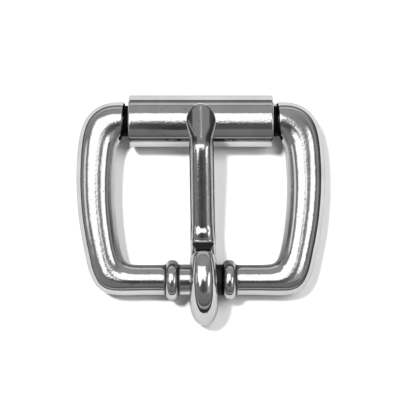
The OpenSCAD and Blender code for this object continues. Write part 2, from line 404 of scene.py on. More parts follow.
# %% [markdown]
# ## The roller
# The roller is a length of tube, rolled from sheet, so a fine seam runs along it.
# A tube could be a boolean of two cylinders, but its polished ends have rounded
# edges that catch the light. Here the section of the wall, a long thin loop with
# rounded corners, is carried round the axle, and the run stops either side of the
# seam.

# %% Roller
EDGE_R = 0.3
INNER_EDGE_R = 0.15
SEAM_W = 0.2
SEAM_TURN = math.radians(205)


def wall_loop():
    """Section of the wall as (x, radius): a rectangle whose corners are quarter
    circles, wide at the outside and small at the bore."""
    half = ROLLER_LEN / 2
    corners = [
        (half, ROLLER_R, EDGE_R, 90),
        (half, ROLLER_BORE_R, INNER_EDGE_R, 0),
        (-half, ROLLER_BORE_R, INNER_EDGE_R, -90),
        (-half, ROLLER_R, EDGE_R, -180),
    ]
    sides = []
    for x, r, edge, start in corners:
        a = np.radians(start - np.linspace(0, 90, 13))
        centre = np.array([x - np.sign(x) * edge, r - edge if r > 3 else r + edge])
        sides.append(centre + edge * np.stack([np.cos(a), np.sin(a)], 1))
    loop = []
    for here, ahead in zip(sides, sides[1:] + sides[:1]):
        loop.append(here)
        gap = np.linalg.norm(ahead[0] - here[-1])
        if gap > 5:
            t = np.array([0.01, 0.25, 0.5, 0.75, 0.99])[:, None]
            loop.append(here[-1] * (1 - t) + ahead[0] * t)
    return np.concatenate(loop)


def roller_rings():
    """The wall's loop at each turn about the axle; turn 0 is straight up."""
    lip = SEAM_W / 2 / ROLLER_R
    turn = SEAM_TURN + np.linspace(lip, 2 * np.pi - lip, 181)
    loop = wall_loop()
    x = np.broadcast_to(loop[:, 0], (len(turn), len(loop)))
    u = PITCH + loop[:, 1] * np.sin(turn)[:, None]
    v = loop[:, 1] * np.cos(turn)[:, None]
    return np.stack([x, u, v], axis=-1)


roller_sleeve = skin("roller_sleeve", placed(roller_rings()))

# %% [markdown]
# ## The tongue
# The tongue is one casting too. Its tip is a flattened leaf that lies on the
# roller, and a straight shank with softly squared edges aims down at the heel bar.
# At its foot a small raised panel is filed, and behind it a stub rises to the eye,
# which goes in front of the heel bar, under it and back over the top, where its
# blunt nose meets the stub at a hairline slit. It is one run of rings: a ring lies
# between an upper and a lower point, and each half is an oval of its own flatness.

# %% Profile tables of the tongue
SHANK_W = 3.66
TIP_W = 4.66
TIP_GAP = 0.15
TIP_SLOPE = 0.35
FOOT_U = 9.75
FOOT_TOP = 4.2
FOOT_UNDER = 0.4
RISE_TOP = 0.22
RISE_UNDER = 0.19
CREST_U = 20.9
BORE_R = 2.75
SLIT_TURN = math.radians(43.5)
SLIT_W = 0.18
BEND_R = 5.2
NOSE_R = 0.42
DOME_R = 6.7
DOME_CENTRE = (0.2, 0.74)
BACK_R = 9.74
BACK_CENTRE = (2.3, -1.46)
BACK_TURN = math.radians(360 - 38.3)
BELLY_TURN = math.radians(360 - 101.1)


def top_line(u, proud=0):
    """Point on the shank's sloping top, or proud of it."""
    return [u, FOOT_TOP + RISE_TOP * (u - FOOT_U) + proud]


def under_line(u, proud=0):
    """Point on the shank's sloping underside."""
    return [u, FOOT_UNDER + RISE_UNDER * (u - FOOT_U) + proud]


def under_tip(past):
    """Underside of the tip: a hollow that follows the roller at a small gap."""
    return [PITCH + past, math.sqrt((ROLLER_R + TIP_GAP) ** 2 - past ** 2)]


def top_tip(past):
    """Sloping top face of the tip, by the distance past the roller's axis."""
    return [PITCH + past, top_line(CREST_U)[1] - TIP_SLOPE * (PITCH + past - CREST_U)]


# Columns: upper point (u, v), lower point (u, v), width, place of the widest line
# from the upper point to the lower one, flatness of the upper half; the lower
# half's is the same all along
STRAIGHT = (SHANK_W, 0.54, 2.8)
SHANK = np.array([[*row, 2.4] for row in (
    [PITCH + 2.64, 3.8, PITCH + 2.5, 3.52, 0.5, 0.6, 2],
    [PITCH + 2.58, 3.92, PITCH + 2.4, 3.52, 1.25, 0.62, 2],
    [PITCH + 2.4, 4.18, *under_tip(2.22), 2.1, 0.65, 2.1],
    [*top_tip(1.9), *under_tip(1.8), 3, 0.68, 2.2],
    [*top_tip(1.05), *under_tip(1.05), 4.05, 0.7, 2.3],
    [*top_tip(-0.25), *under_tip(-0.1), TIP_W, 0.7, 2.3],
    [*top_tip(-1.35), *under_tip(-1.2), 4.4, 0.66, 2.4],
    [*top_tip(-2.5), *under_tip(-2.35), 3.75, 0.6, 2.5],
    [*top_tip(-3.4), *under_tip(-3.25), 3.6, 0.56, 2.6],
    [*top_tip(-4.05), *under_line(21.6, -0.05), *STRAIGHT],
    [20.75, top_line(20.75)[1] - 0.1, *under_line(21), *STRAIGHT],
    [*top_line(19.9, -0.03), *under_line(20.1), *STRAIGHT],
    *([*top_line(above), *under_line(below), *STRAIGHT] for above, below in (
        (18, 18), (15, 15), (12, 12.2), (9.75, 10.3), (8.8, 9.6))),
    [*top_line(8.4, 0.03), *under_line(9.2), 3.67, 0.53, 2.9],
    [*top_line(8, 0.13), *under_line(8.8), 3.69, 0.52, 3],
    [*top_line(7.6, 0.25), *under_line(8.45), 3.72, 0.51, 3.1],
    [*top_line(7.2, 0.29), *under_line(8.1), 3.74, 0.5, 3.2],
    [*top_line(6.7, 0.28), *under_line(7.75, -0.02), 3.77, 0.5, 3.3],
    [*top_line(6.25, 0.29), *under_line(7.5, -0.05), 3.8, 0.5, 3.4],
    [6.02, 4, *under_line(7.25, -0.1), 3.82, 0.52, 3.4],
    [5.86, 4.22, *under_line(7.05, -0.15), 3.85, 0.55, 3.4],
    [5.5, 4.78, *under_line(6.85, -0.2), 3.88, 0.6, 3.3],
    [5.27, 5.1, *under_line(6.7, -0.26), 3.9, 0.62, 3.2],
)])
# Columns: turn in degrees, width, radius of the widest line, flatness of the
# bar's side and of the outer side
EYE = np.array([
    [90, 4.1, 3.7, 4, 2.4],
    [180, 4.4, 3.4, 4, 2.4],
    [230, 4.58, 3.3, 4, 2.2],
    [270, 4.64, 3.25, 4, 2.1],
    [315, 4.6, 3.4, 4, 2.4],
    [360, 4.5, 3.6, 4, 2.7],
    [391, 4.15, 3.8, 4, 2.8],
    [410, 3.9, 3.9, 4, 2.8],
])
EYE_INNER = BORE_R - 0.5
print("crest of the tongue at v", round(top_line(CREST_U)[1], 2))

# %% [markdown]
# ### The line of the eye
# The eye is laid out by turning round the heel bar. At its foot the inner points
# trail the outer ones, so that the rings fan out instead of crossing, and its nose
# is a small arc that ends at the slit.

# %% Rows of the tongue
# Foot of the eye: start of its inner line, radius, flare, last turn and sweep of
# its outer line, and the last four columns of its rows
FOOT_IN_R = 7.12
FOOT_OUT_R, FOOT_FLARE = 5, 1.6
FOOT_TURN, FOOT_SWEEP = 112, 19
FOOT_SECTION = (4, 0.5, 3, 2.4)
# Degrees: the eye's first turn and step; how far the inner points trail, where
# that ends and over how much turn; the nose's sweep
EYE_TURN, EYE_STEP = 114, 2
TRAIL, TRAIL_END, TRAIL_LENGTH = 68.5, 160, 48
NOSE_SWEEP = 9


def polar(r, turn):
    """Profile points at a radius and a turn, measured from straight up."""
    return np.stack([r * np.sin(turn), r * np.cos(turn)], axis=-1)


def slit_face(r, way):
    """Point of the slit's face at this radius, half a slit's width off its line."""
    across = np.array([math.cos(SLIT_TURN), -math.sin(SLIT_TURN)])
    return polar(np.asarray(r), SLIT_TURN) + way * SLIT_W / 2 * across


def reach(turn, centre, radius):
    """Distance from the bar's axis at this turn to a circle round a centre: the
    centre's share of that direction plus the rest of the circle's radius."""
    share = centre[0] * np.sin(turn) + centre[1] * np.cos(turn)
    return share + np.sqrt(radius ** 2 - centre[0] ** 2 - centre[1] ** 2 + share ** 2)


def eye_outer(turn):
    """Outer radius of the eye: a quarter ellipse in front of the bar, a flat
    ellipse under it, a wide circle up its back and a smaller one over the top.
    The flat ellipse's radius r solves a r^2 + 2 b r + c = 0."""
    front = 1 / np.hypot(np.sin(turn) / BEND_R, np.cos(turn) / ROLLER_R)
    drop = BACK_CENTRE[1]
    wide, deep = BACK_R - BACK_CENTRE[0], ROLLER_R + drop
    a = (np.sin(turn) / wide) ** 2 + (np.cos(turn) / deep) ** 2
    b = -drop * np.cos(turn) / deep ** 2
    c = (drop / deep) ** 2 - 1
    belly = (-b + np.sqrt(np.maximum(b * b - a * c, 0))) / a
    back = reach(turn, BACK_CENTRE, BACK_R)
    dome = reach(turn, DOME_CENTRE, DOME_R)
    return np.select(
        [turn <= np.pi, turn <= BELLY_TURN, turn <= BACK_TURN], [front, belly, back], dome)


def eye_rows(inner, outer, turn):
    """Rows of the eye: its tables read at the turn, and the widest line kept at
    its own radius between the inner and the outer point."""
    degrees = np.degrees(turn)
    width, waist_r, n_bar, n_out = read(EYE[:, 1:], EYE[:, 0], degrees).T
    r_in = np.linalg.norm(inner, axis=1)
    r_out = np.linalg.norm(outer, axis=1)
    waist = np.clip((waist_r - r_in) / (r_out - r_in), 0.15, 0.6)
    return np.column_stack([inner, outer, width, waist, n_bar, n_out])


def tongue_rows():
    """Rows from the tip to the nose: shank, foot of the stub, eye and nose."""
    knots = chord(np.concatenate([SHANK[:, :2], SHANK[:, 2:4]], axis=1)) / math.sqrt(2)
    at = np.unique(np.concatenate([
        np.linspace(knots[start], knots[end], count)
        for start, end, count in ((0, 6, 60), (6, 11, 34), (11, 16, 20), (16, -1, 90))]))
    shank = spline(knots, SHANK, at)

    t = np.linspace(0, 1, 22)[1:]
    foot_in = slit_face(FOOT_IN_R + (EYE_INNER - FOOT_IN_R) * t, 1)
    foot_turn = np.radians(FOOT_TURN - FOOT_SWEEP * (1 - t))
    foot_out = polar(FOOT_OUT_R + FOOT_FLARE * (1 - t) ** 2, foot_turn)
    foot = np.column_stack([foot_in, foot_out, np.tile(FOOT_SECTION, (len(t), 1))])

    centre_r = DOME_R - NOSE_R
    lean_in = DOME_CENTRE[0] * math.cos(SLIT_TURN) - DOME_CENTRE[1] * math.sin(SLIT_TURN)
    nose_tilt = SLIT_TURN - math.asin((NOSE_R + SLIT_W / 2 + lean_in) / centre_r)
    nose_centre = np.array(DOME_CENTRE) + polar(centre_r, nose_tilt)
    nose_tip = np.array(DOME_CENTRE) + polar(DOME_R, nose_tilt)
    nose_turn = math.atan2(nose_tip[0], nose_tip[1])
    last = 360 + math.degrees(nose_turn) - 0.7
    turn = np.radians(np.arange(EYE_TURN, last, EYE_STEP))
    before = np.clip((TRAIL_END - np.degrees(turn)) / TRAIL_LENGTH, 0, None)
    trail = np.radians(TRAIL) * before
    r = np.full_like(turn, EYE_INNER)
    eye = eye_rows(polar(r, turn - trail), polar(eye_outer(turn), turn), turn)

    t = np.linspace(0, 1, 25)
    roll = nose_tilt + (SLIT_TURN + np.pi / 2 - nose_tilt) * t
    outer = nose_centre + polar(np.full_like(t, NOSE_R), roll)
    inner = (polar(EYE_INNER, nose_turn) * (1 - t[:, None])
             + slit_face(EYE_INNER, -1) * t[:, None])
    nose = eye_rows(inner, outer, 2 * np.pi + nose_turn + np.radians(NOSE_SWEEP) * t)
    return np.concatenate([shank, foot, eye, nose])


# %% [markdown]
# ### Rings of the tongue
# Polished metal shows two things that plain ovals lack: a ridge filed along the
# tip, and a worn lip along both edges, a few tenths of a millimetre wide, where
# the halves of the mould met. The tongue leans a little to one side, as it lies in
# the photograph.

# %% Tongue
TONGUE_AROUND = 144
LEAN, LEAN_END, LEAN_LENGTH = 0.5, 27, 30
RIDGE, RIDGE_W = 0.05, 0.4
LIP_W, LIP_PROUD = 0.22, 0.1
LIP_RISE, LIP_DROP = 0.2, 0.1
LIP_SLOPE = math.tan(math.radians(62))
LIP_ENDS = (5.8, 7)


def leaning(u):
    """How far the tongue's middle lies to the right at this u."""
    return LEAN * (LEAN_END - u) / LEAN_LENGTH


def tongue_rings(rows):
    """Rings of the rows: each half is an oval raised to its flatness, with more
    points beside the widest line. There the upper half is set in by its height
    over LIP_SLOPE, up to LIP_W, and both halves stand LIP_PROUD at the line
    itself. The tip's top falls off by up to RIDGE on both sides of its ridge, and
    points inside the bore are pushed out to it, which leaves the bearing face."""
    a = np.linspace(0, 2 * np.pi, TONGUE_AROUND, endpoint=False)
    a = a - np.sin(2 * a) / 4
    sine, cosine = np.sin(a), np.cos(a)
    rows = rows[:, :, None]
    flat = np.where(sine > 0, rows[:, 6], rows[:, 7])
    top, low = rows[:, 0:2], rows[:, 2:4]
    middle = top + (low - top) * rows[:, 5:6]
    end = np.where(sine > 0, top, low)
    half, rise = rows[:, 4] / 2, np.abs(sine) ** (2 / flat)
    p = middle + (end - middle) * rise[:, None]
    x = half * np.sign(cosine) * np.abs(cosine) ** (2 / flat)
    u, v = p[:, 0], p[:, 1]
    fall = RIDGE * (1 - np.exp(-np.abs(x) / RIDGE_W))
    v = v - fall * ramp(u, CREST_U + 0.6, CREST_U + 2) * rise * (sine > 0)
    lip = np.clip((v - middle[:, 1]) / LIP_SLOPE, 0, LIP_W) * ramp(u, *LIP_ENDS)
    inset = np.maximum(lip - (half - np.abs(x)), 0) * (sine > 0)
    off_line = np.abs(v - middle[:, 1]) / np.where(sine > 0, LIP_RISE, LIP_DROP)
    proud = LIP_PROUD * np.clip(1 - off_line, 0, 1) * ramp(u, *LIP_ENDS)
    proud *= falls(u, CREST_U, CREST_U + 2)
    x = np.sign(x) * np.maximum(np.abs(x) - inset + proud, 0)
    r = np.hypot(u, v)
    push = np.maximum(r, BORE_R) / r
    u, v = u * push, v * push
    return np.stack([x + leaning(u), u, v], axis=-1)


tongue_grid = tongue_rings(tongue_rows())
tongue_cast = skin("tongue_cast", placed(tongue_grid))

# %% [markdown]
# ## Wear and painted light, worked out for each point
# Five things differ from place to place: painted shade, near-black colour where
# shade falls in gaps, slits and hollows; scuffs, a fine ripple along the highest
# line of each bar; dents, the coarse marks of a casting that was never ground;
# wear, which leaves edges a little dull and carries a painted highlight that makes
# them brighter; and painted dark reflections, a dark film on slopes whose
# reflections are darker. They could be painted by hand, but each has a rule. So
# each is a number from 0 to 1 on every point of a skin, by where the point lies
# and which way it faces.

# %% Tools for the wear and painted light
# Layers: painted shade, scuffs, dents, wear with a painted highlight, and painted dark
# reflections.
LAYERS = ("grime", "scuff", "dent", "worn", "tarnish")


def mark(piece, **given):
    """Store one number per point for each layer, 0 where none is given."""
    points = len(piece.data.vertices)
    for name in LAYERS:
        values = np.zeros(points) + given.get(name, 0)
        layer = piece.data.attributes.new(name, "FLOAT", "POINT")
        layer.data.foreach_set("value", values)
        print(piece.name, name, "mean", round(float(values.mean()), 3))


def points_of(piece):
    """Points of a skin as (x, u, v) in millimetres, with their normals."""
    vertices = piece.data.vertices
    points, normals = np.empty((2, len(vertices) * 3))
    vertices.foreach_get("co", points)
    vertices.foreach_get("normal", normals)
    x, u, v = (points.reshape(-1, 3) / MM - ORIGIN).T
    return x, u, v, normals.reshape(-1, 3)


def tilt_of(normal):
    """Angle between the surface and the level, in degrees."""
    return np.degrees(np.arccos(np.clip(normal[:, 2], -1, 1)))


# %% [markdown]
# ### Wear and painted light on the frame
# Painted shade darkens the axle between the roller and the shoulders, the feet of
# the rings and the nook beside the tongue. The highest lines are scuffed. A
# painted dark reflection lies on the slopes that face the window.

# %% Wear and painted light on the frame
BAR_END = PITCH - 3
FOOT_SHADE, NOOK_SHADE, HEEL_SCUFF, FRAME_DARK_REFLECTION = 0.85, 0.9, 0.55, 0.68


def frame_wear():
    """Products of ramps over the distance from the axle and the rings' feet, the
    tilt, and how far a slope's normal points inwards, at the window's middle."""
    x, u, v, normal = points_of(cast_frame)
    side, r, tilt = np.abs(x), np.hypot(u, v), tilt_of(normal)
    face = shoulder_x(u)
    axle = falls(side, face + 0.02, face + 0.12) * ramp(u, BAR_END, BAR_END + 0.1)
    ring = np.abs(side - (COLLAR_GAP + COLLAR_W) / 2)
    foot = falls(np.abs(ring - COLLAR_W / 2), 0.05, 0.35) * falls(r, 2.5, 2.95)
    nook = NOOK_SHADE * ramp(x, 2.2, 2.6) * falls(x, 3.4, 3.7) * falls(r, 2.7, 3)
    limb = ramp(side, 11.3, 13.5) * falls(tilt, 16, 34)
    heel = falls(tilt, 20, 36) * falls(side, 11, 12.5) * falls(u, 2.8, 3)
    inwards = -x * normal[:, 0] + (PITCH / 2 - u) * normal[:, 1]
    inwards /= np.hypot(x, PITCH / 2 - u) * np.hypot(normal[:, 0], normal[:, 1]) + 1e-9
    limb_slope = ramp(tilt, 36, 41) * (1 - 0.4 * ramp(tilt, 50, 53)) * ramp(u, 4, 8)
    heel_slope = ramp(tilt, 46, 50) * falls(u, 4, 8)
    dark_slopes = ramp(inwards, 0.3, 0.7) * falls(u, 1, BAR_END) * (limb_slope + heel_slope)
    # Painted shade: near-black on the axle, at the rings' feet and in the nook beside the
    # tongue. Painted dark reflection: the dark film on the slopes.
    mark(cast_frame,
         grime=np.clip(axle + FOOT_SHADE * foot + nook, 0, 1),
         scuff=np.clip(limb + HEEL_SCUFF * heel, 0, 1),
         dent=ramp(side, 11, 13) * falls(u, 1, BAR_END),
         tarnish=FRAME_DARK_REFLECTION * dark_slopes)


frame_wear()

# %% [markdown]
# ### Wear and painted light on the roller
# Painted shade darkens the bore and the end rims, the highest line is scuffed,
# rubbed and given a faint painted highlight, and a narrow painted dark reflection
# runs along the front.

# %% Wear and painted light on the roller
ROLLER_WEAR_AND_HIGHLIGHT, ROLLER_DARK_REFLECTION = 0.055, 0.8


def roller_wear():
    """The bore by radius, the rims by x and radius, and the rest by the turn about
    the axle, counted towards the heel bar."""
    x, u, v, _ = points_of(roller_sleeve)
    r = np.hypot(u - PITCH, v)
    bore = falls(r, ROLLER_BORE_R + 0.2, ROLLER_BORE_R + 0.6)
    rim = ramp(np.abs(x), ROLLER_LEN / 2 - 0.06, ROLLER_LEN / 2)
    rim *= falls(r, ROLLER_R - 0.25, ROLLER_R + 0.05)
    turn = np.degrees(np.arctan2(PITCH - u, v))
    # Painted shade in the bore and on the end rims, a faint painted highlight along the
    # highest line, and a painted dark reflection along the front.
    mark(roller_sleeve,
         grime=np.clip(bore + rim, 0, 1),
         scuff=falls(np.abs(turn), 8, 17),
         worn=ROLLER_WEAR_AND_HIGHLIGHT * falls(np.abs(turn), 6, 12),
         tarnish=ROLLER_DARK_REFLECTION * ramp(turn, 43.5, 45) * falls(turn, 47.5, 49))


roller_wear()

# %% [markdown]
# ### Wear and painted light on the tongue
# Painted shade blackens the slit, the bore and the stub's face. The shank's top is
# scuffed, its foot is dented, and the ridge and the lip are rubbed dull and given a
# painted highlight. Painted dark reflections darken the flanks, the tip's shoulders
# and the parting line outside the lip, which draws the tongue's outline.

# %% Wear and painted light on the tongue
SLIT_SHADE_W, SLIT_SHADE_TOP, STUB_SHADE = 0.22, 0.1, 0.93
RIDGE_WEAR_AND_HIGHLIGHT = 0.7
FLANK_DARK_REFLECTION, PARTING_DARK_REFLECTION = 0.55, 0.9
TIP_DARK_REFLECTION, SHOULDER_DARK_REFLECTION = 0.22, 0.62


def tongue_grime(u, v, sideways):
    """Painted shade: the slit by the distance to its line, the bore by radius, and the
    stub's face by its u, v and turn about the heel bar."""
    r, turn = np.hypot(u, v), np.arctan2(u, v)
    top_face = falls(sideways, 0.5, 0.85)
    edge = SLIT_SHADE_W + SLIT_SHADE_TOP * top_face
    slit = ramp(edge - np.abs(r * np.sin(turn - SLIT_TURN)), 0, 0.12) * falls(r, 7.1, 7.6)
    bore = falls(r, BORE_R, BORE_R + 0.5)
    stub = falls(u, 6, 6.2) * ramp(u, 5, 5.2) * ramp(v, 3, 3.6) * falls(turn, 1, 1.08)
    return np.clip(slit + bore + STUB_SHADE * stub * top_face, 0, 1)


def parting_line():
    """The outermost part of the upper half of each ring, by the distance from
    the ring's widest point; the two fans' points take none."""
    off = np.abs(tongue_grid[..., 0] - leaning(tongue_grid[..., 1]))
    inset = off.max(axis=1, keepdims=True) - off
    upper = np.arange(TONGUE_AROUND) <= TONGUE_AROUND // 2
    return np.append(falls(inset, 0.15, 0.21) * upper, [0, 0])


def tongue_wear():
    """Products of ramps over u, the tilt and the distance off the tongue's middle."""
    x, u, v, normal = points_of(tongue_cast)
    off, tilt, sideways = np.abs(x - leaning(u)), tilt_of(normal), np.abs(normal[:, 0])
    up = ramp(normal[:, 2], 0.7, 0.93)
    ridge = falls(off, 0.08, 0.28) * ramp(u, CREST_U + 0.8, CREST_U + 2) * up
    lip = ramp(tilt, 53, 58) * falls(tilt, 80, 88) * ramp(u, *LIP_ENDS)
    lip *= ramp(sideways, 0.4, 0.6) + ramp(u, CREST_U, CREST_U + 1)
    flank = ramp(tilt, 35, 39) * falls(tilt, 48, 52) * ramp(sideways, 0.5, 0.6)
    flank *= FLANK_DARK_REFLECTION * ramp(u, 4, 7)
    shoulder = np.maximum(ramp(sideways, 0.14, 0.3), ramp(off, 1.25, 1.45))
    leaf = falls(tilt, 49, 53) * ramp(u, CREST_U + 0.2, CREST_U + 1.2)
    leaf *= TIP_DARK_REFLECTION + SHOULDER_DARK_REFLECTION * shoulder
    parting = PARTING_DARK_REFLECTION * parting_line()
    parting *= ramp(u, *LIP_ENDS) * falls(u, CREST_U + 1, CREST_U + 2)
    # Painted shade in the slit, the bore and on the stub's face; a painted highlight on
    # the ridge and the lip; painted dark reflections on the flanks, the tip's shoulders
    # and the parting line.
    mark(tongue_cast,
         grime=tongue_grime(u, v, sideways),
         scuff=up * ramp(u, 8.2, 9.6) * falls(u, PITCH - 3.5, PITCH - 0.6),
         dent=falls(u, 7, 9.4) * ramp(v, 1.5, 3),
         worn=np.maximum(RIDGE_WEAR_AND_HIGHLIGHT * ridge, lip),
         tarnish=np.maximum(np.maximum(flank, leaf), parting))


tongue_wear()

# %% [markdown]
# ## Polished steel
# The frame and the tongue are castings tumbled to a mirror with a faint orange
# peel; the sleeve is drawn tube, smoother along its length. A shader with one grey
# and one roughness would look like plastic film, so the material is layered: a grey
# that wanders, with pinholes, then a painted highlight on the wear, painted dark
# reflections and painted shade over it; a roughness that scratches, specks, wear
# and the places of painted shade raise; and four heights that bend the
# reflections, which are peel, ripple, dents and scratches.

# %% Tools for the materials
def new_material(name):
    """New material and its node tree."""
    material = bpy.data.materials.new(name)
    material.use_nodes = True
    return material, material.node_tree


def fill(tree, made, inputs):
    """Fill a node's inputs by name or number: a socket is linked, a plain value
    is written in, and None leaves the input alone."""
    for name, value in inputs.items():
        if isinstance(value, bpy.types.NodeSocket):
            tree.links.new(value, made.inputs[name])
        elif value is not None:
            made.inputs[name].default_value = value


def node(tree, kind, inputs=None, **settings):
    """New node with its settings and inputs filled in."""
    made = tree.nodes.new(kind)
    for name, value in settings.items():
        setattr(made, name, value)
    fill(tree, made, inputs or {})
    return made


def attribute(tree, name):
    """Value of one of the layers at each point."""
    return node(tree, "ShaderNodeAttribute", attribute_name=name).outputs["Fac"]


def noise(tree, where, per_mm, detail=2.0, rough=0.5):
    """Noise from 0 to 1 with this many waves to a millimetre."""
    made = node(tree, "ShaderNodeTexNoise", {
        "Vector": where, "Scale": per_mm / MM, "Detail": detail, "Roughness": rough})
    return made.outputs["Fac"]


def stretched(tree, where, factors):
    """Coordinates squeezed along an axis, so that a noise runs long along it."""
    inputs = {"Vector": where, "Scale": factors}
    return node(tree, "ShaderNodeMapping", inputs, vector_type="POINT").outputs["Vector"]


def ranged(tree, value, low, high, to_low, to_high):
    """Value brought smoothly from one range to another and kept within it."""
    made = node(tree, "ShaderNodeMapRange", {
        "Value": value, "From Min": low, "From Max": high, "To Min": to_low,
        "To Max": to_high}, interpolation_type="SMOOTHSTEP")
    return made.outputs["Result"]


def mixed(tree, under, over, share):
    """Colour from under, where share is 0, to over, where it is 1."""
    inputs = {"A": under, "B": over, "Factor": share}
    return node(tree, "ShaderNodeMix", inputs, data_type="RGBA").outputs["Result"]


def math_node(tree, what, a, b):
    """One sum, product or the like of two values; each is a socket or a number."""
    return node(tree, "ShaderNodeMath", {0: a, 1: b}, operation=what).outputs[0]


def bumped(tree, height, depth, normal=None):
    """Bend the normal by a height of this depth in micrometres."""
    made = node(tree, "ShaderNodeBump", {
        "Strength": 1, "Distance": depth * MM / 1000, "Height": height, "Normal": normal})
    return made.outputs["Normal"]


# %% [markdown]
# ### The steel's layers
# The patterns are noises on Object coordinates, so they ride on the metal when a
# piece turns.

# %% Steel
# Waves to a millimetre
CLOUDS, GRAIN, PORES, SPECKS, SCRATCHES = 0.25, 6, 3.2, 4, 5
PEEL, RIPPLE, HOLLOWS = 0.8, 3.7, 0.9
# Colours: pinholes, a painted highlight, a painted dark reflection and painted shade, then
# the two tones of the wandering grey, and the edge tint
PORE = (0.07, 0.07, 0.07, 1)
HIGHLIGHT_COLOUR = (0.97, 0.97, 0.97, 1)
DARK_REFLECTION_COLOUR = (0.02, 0.02, 0.02, 1)
SHADE_COLOUR = (0.012, 0.012, 0.011, 1)
DIM, BRIGHT = (0.93, 0.93, 0.935), (1.06, 1.06, 1.065)
RIM = 0.75
# What each adds to the roughness
HAIR_DULLS, GRAIN_DULLS, SPECKS_DULL, WEAR_DULLS, SHADE_DULLS = 0.06, 0.02, 0.07, 0.3, 0.6


def steel_colour(tree, where, tone, worn, tarnish, grime):
    """Grey that wanders between two tones, with pinholes, a painted highlight on the
    wear, painted dark reflections and painted shade laid over it in that order."""
    dim, bright = ((*[tone * c for c in colour], 1) for colour in (DIM, BRIGHT))
    clouds = ranged(tree, noise(tree, where, CLOUDS, 3), 0.3, 0.7, 0, 1)
    solid = ranged(tree, noise(tree, where, PORES, 1), 0.2, 0.27, 0, 1)
    colour = mixed(tree, PORE, mixed(tree, dim, bright, clouds), solid)
    for layer, share in ((HIGHLIGHT_COLOUR, worn), (DARK_REFLECTION_COLOUR, tarnish), (SHADE_COLOUR, grime)):
        colour = mixed(tree, colour, layer, share)
    return colour


def steel_roughness(tree, where, smooth, scratches, scuffed, worn, grime):
    """Least roughness, plus what grain, scratches, specks, wear and the places of painted
    shade add.
    """
    grain = noise(tree, where, GRAIN, 2)
    rough = ranged(tree, grain, 0.3, 0.7, smooth, smooth + GRAIN_DULLS)
    specks = ranged(tree, noise(tree, where, SPECKS, 1), 0.45, 0.55, 0, SPECKS_DULL)
    for more in (
        ranged(tree, scratches, 0.45, 0.75, 0, HAIR_DULLS),
        math_node(tree, "MULTIPLY", worn, WEAR_DULLS),
        math_node(tree, "MULTIPLY", specks, scuffed),
        math_node(tree, "MULTIPLY", grime, SHADE_DULLS),
    ):
        rough = math_node(tree, "ADD", rough, more)
    return rough


def steel(name, tone, peel, scuff, grind, scratch_along, smooth):
    """Layered steel: tone is its grey, peel, scuff and grind their heights,
    scratch_along the squeeze of the scratches and smooth its least roughness."""
    material, tree = new_material(name)
    where = node(tree, "ShaderNodeTexCoord").outputs["Object"]
    grime, scuffed, dented, worn, tarnish = (attribute(tree, layer) for layer in LAYERS)
    scratches = noise(tree, stretched(tree, where, scratch_along), SCRATCHES, 3, 0.6)
    colour = steel_colour(tree, where, tone, worn, tarnish, grime)
    rough = steel_roughness(tree, where, smooth, scratches, scuffed, worn, grime)
    bent = bumped(tree, noise(tree, where, PEEL, 1), peel)
    ripple = math_node(tree, "MULTIPLY", noise(tree, where, RIPPLE, 1), scuffed)
    bent = bumped(tree, ripple, scuff, bent)
    hollows = math_node(tree, "MULTIPLY", noise(tree, where, HOLLOWS, 1), dented)
    bent = bumped(tree, hollows, 3 * peel, bent)
    bent = bumped(tree, scratches, grind, bent)
    fill(tree, tree.nodes["Principled BSDF"], {
        "Base Color": colour, "Roughness": rough, "Normal": bent, "Metallic": 1,
        "Specular Tint": (RIM, RIM, RIM, 1), "Specular IOR Level": 0.1})
    return material


# %% Steel on the pieces
# Columns: grey; heights of peel, scuffs and scratches in micrometres; squeeze of
# the scratches along x, y and z; least roughness
STEELS = {
    "cast_steel": (0.62, 5, 15, 0.4, (1, 1, 1), 0.045),
    "sleeve_steel": (0.64, 1, 20, 0.6, (0.1, 1, 1), 0.035),
    "tongue_steel": (0.62, 5, 12, 4, (1, 0.1, 1), 0.045),
}
for piece, body, part, finish in (
    (cast_frame, "frame_body", "frame", "cast_steel"),
    (roller_sleeve, "roller_body", "roller", "sleeve_steel"),
    (tongue_cast, "tongue_body", "tongue", "tongue_steel"),
):
    piece.data.materials.append(steel(finish, *STEELS[finish]))
    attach(piece, body)
    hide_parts(part)
    print(finish, "on", piece.name)

# %% [markdown]
# ## Camera
# The photograph looks almost straight down, and its perspective shows in the two
# limbs and the roller. So the camera stands where the photograph was taken from,
# and its lens makes the picture as wide as the photograph at the bars' height. It
# has no depth of field.

# %% Camera
SENSOR = 36
VIEW_X, VIEW_Y, VIEW_Z = -0.13, 1.71, 254.0
VIEW_WIDTH = 64.0
camera_data = bpy.data.cameras.new("camera")
camera_data.sensor_width = SENSOR
camera_data.lens = SENSOR * (VIEW_Z - AXIS_Z) / VIEW_WIDTH
camera = in_scene("camera", camera_data)
camera.location = (VIEW_X * MM, VIEW_Y * MM, VIEW_Z * MM)
bpy.context.scene.camera = camera
print("camera lens in mm", round(camera_data.lens, 1))

# %% [markdown]
# ## The studio that the metal shows
# Polished metal has hardly a colour of its own: what one sees in it is the room. A
# few glowing cards would have hard edges, so the room is one light tent, a dome of
# cloth 0.3 m from the buckle, whose glow is worked out point by point. Bright
# windows overhead make the white bands: the main one up on the left with a lower
# and a middle part, two small ones beside it, a narrow one on the right with a dim
# tail, and a strip on the far left. The walls are dimmer, and darkest in front,
# where the lamp's arm crosses.

# %% The tent's glow
WINDOW = 1.75
TENT_R = 0.3
DOME_ROWS, AZIMUTH_STEP = 130, 1.5
